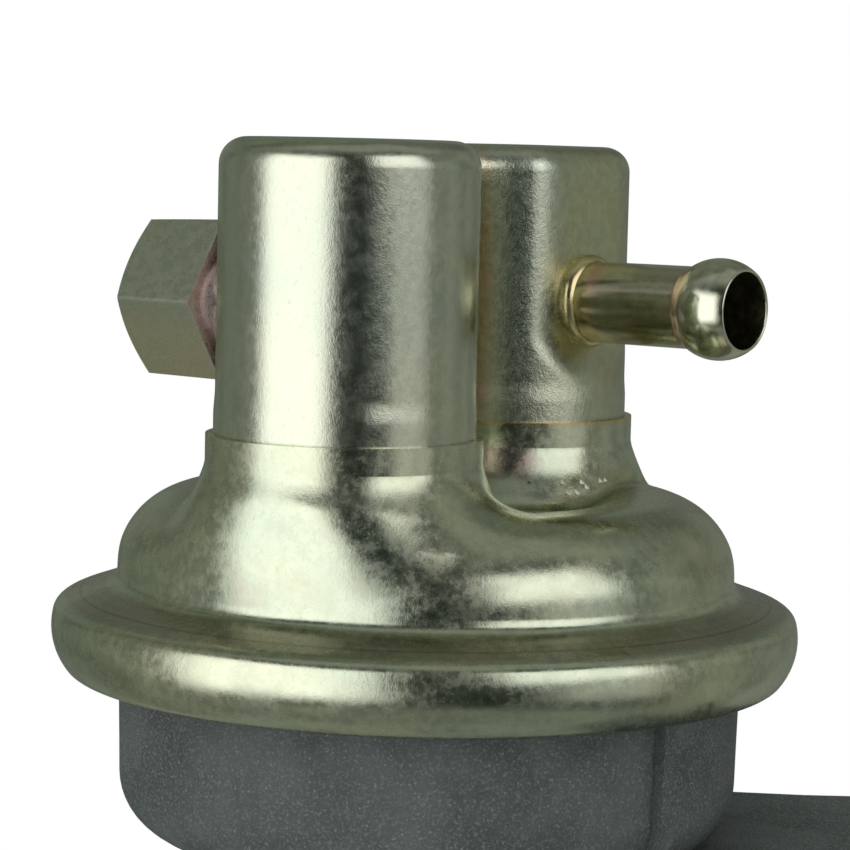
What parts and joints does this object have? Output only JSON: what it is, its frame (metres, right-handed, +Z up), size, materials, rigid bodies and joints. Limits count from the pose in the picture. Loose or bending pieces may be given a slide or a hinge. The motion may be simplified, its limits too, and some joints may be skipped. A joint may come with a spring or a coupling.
{
  "type": "mechanical fuel pump",
  "caption": "Mechanical diaphragm fuel pump with a drawn sheet cover, paired port cups, a hose tube, a hexagonal port and a die-cast body with a rocker arm.",
  "frame": {"origin": "middle of the mounting face, halfway between the two bolt holes", "axes": "+X out of the mounting face along the rocker arm, +Z up along the diaphragm axis towards the port cups"},
  "size_m": [0.138, 0.091, 0.1207],
  "materials": {
    "zinc_cover": "yellow-green zinc plate on drawn sheet, fine mottled sheen",
    "zinc_cup": "yellow-green zinc plate, vertical drawn sheen",
    "zinc_fitting": "zinc plate with a slight pink tint, satin",
    "zinc_tube": "zinc plate with golden tint, satin",
    "copper_braze": "copper braze, semi-gloss",
    "gold_braze": "golden zinc over braze, semi-gloss",
    "casting": "dark grey die casting, matte with fine speckle",
    "diaphragm_rubber": "fabric-backed rubber, matte",
    "pressed_steel": "plain pressed steel, satin",
    "turned_steel": "turned steel, satin",
    "spring_steel": "oiled spring wire, semi-gloss",
    "seal_rubber": "moulded rubber, matte",
    "valve_plate": "plated pressing, satin",
    "valve_disc": "moulded disc, matte",
    "forged_steel": "forged and ground steel, oiled",
    "plug_steel": "pressed plug, satin"
  },
  "bodies": {
    "body": {"cover": "zinc_cover", "outlet_cup": "zinc_cup", "inlet_cup": "zinc_cup", "outlet_fitting": "zinc_fitting", "outlet_braze_ring": "copper_braze", "inlet_tube": "zinc_tube", "inlet_braze_ring": "gold_braze", "housing": "casting", "diaphragm": "diaphragm_rubber", "diaphragm_spring": "spring_steel", "rod_seal": "seal_rubber", "seal_retainer": "pressed_steel", "inlet_valve_seat": "valve_plate", "inlet_valve_spring": "spring_steel", "inlet_valve_stem": "turned_steel", "outlet_valve_seat": "valve_plate", "outlet_valve_spring": "spring_steel", "outlet_valve_stem": "turned_steel", "pivot_pin": "turned_steel", "thrust_washers": "pressed_steel", "pin_plugs": "plug_steel", "return_spring": "spring_steel"},
    "rocker": {"rocker_arm": "forged_steel"},
    "link": {"link_lever": "pressed_steel"},
    "rod": {"pull_rod": "turned_steel", "rod_foot": "turned_steel", "diaphragm_plate_upper": "pressed_steel", "diaphragm_plate_lower": "pressed_steel"},
    "inlet_disc": {"inlet_valve_disc": "valve_disc"},
    "outlet_disc": {"outlet_valve_disc": "valve_disc"}
  },
  "joints": [
    {"name": "rocker_pivot", "type": "hinge", "parent": "body", "child": "rocker", "pos_m": [-0.029, 0, 0], "axis": [0, -1, 0], "range_deg": [0, 8], "stiffness_Nm_per_rad": 1, "springref_deg": -34.38, "deforming": ["return_spring"]},
    {"name": "link_pivot", "type": "hinge", "parent": "body", "child": "link", "pos_m": [-0.029, 0, 0], "axis": [0, -1, 0], "range_deg": [0, 8]},
    {"name": "rod_slide", "type": "slide", "parent": "body", "child": "rod", "axis": [0, 0, -1], "range_m": [0, 0.0034], "stiffness_N_per_m": 30, "springref_m": -0.01, "deforming": ["diaphragm", "diaphragm_spring"]},
    {"name": "inlet_valve_lift", "type": "slide", "parent": "body", "child": "inlet_disc", "axis": [0, 0, -1], "range_m": [0, 0.0015], "stiffness_N_per_m": 50, "springref_m": -0.002, "deforming": ["inlet_valve_spring"]},
    {"name": "outlet_valve_lift", "type": "slide", "parent": "body", "child": "outlet_disc", "axis": [0, 0, 1], "range_m": [0, 0.0015], "stiffness_N_per_m": 50, "springref_m": -0.002, "deforming": ["outlet_valve_spring"]}
  ],
  "couplings": [
    {"joint": "link_pivot", "follows": "rocker_pivot", "ratio": 1},
    {"joint": "rod_slide", "follows": "rocker_pivot", "m_per_rad": 0.024}
  ]
}
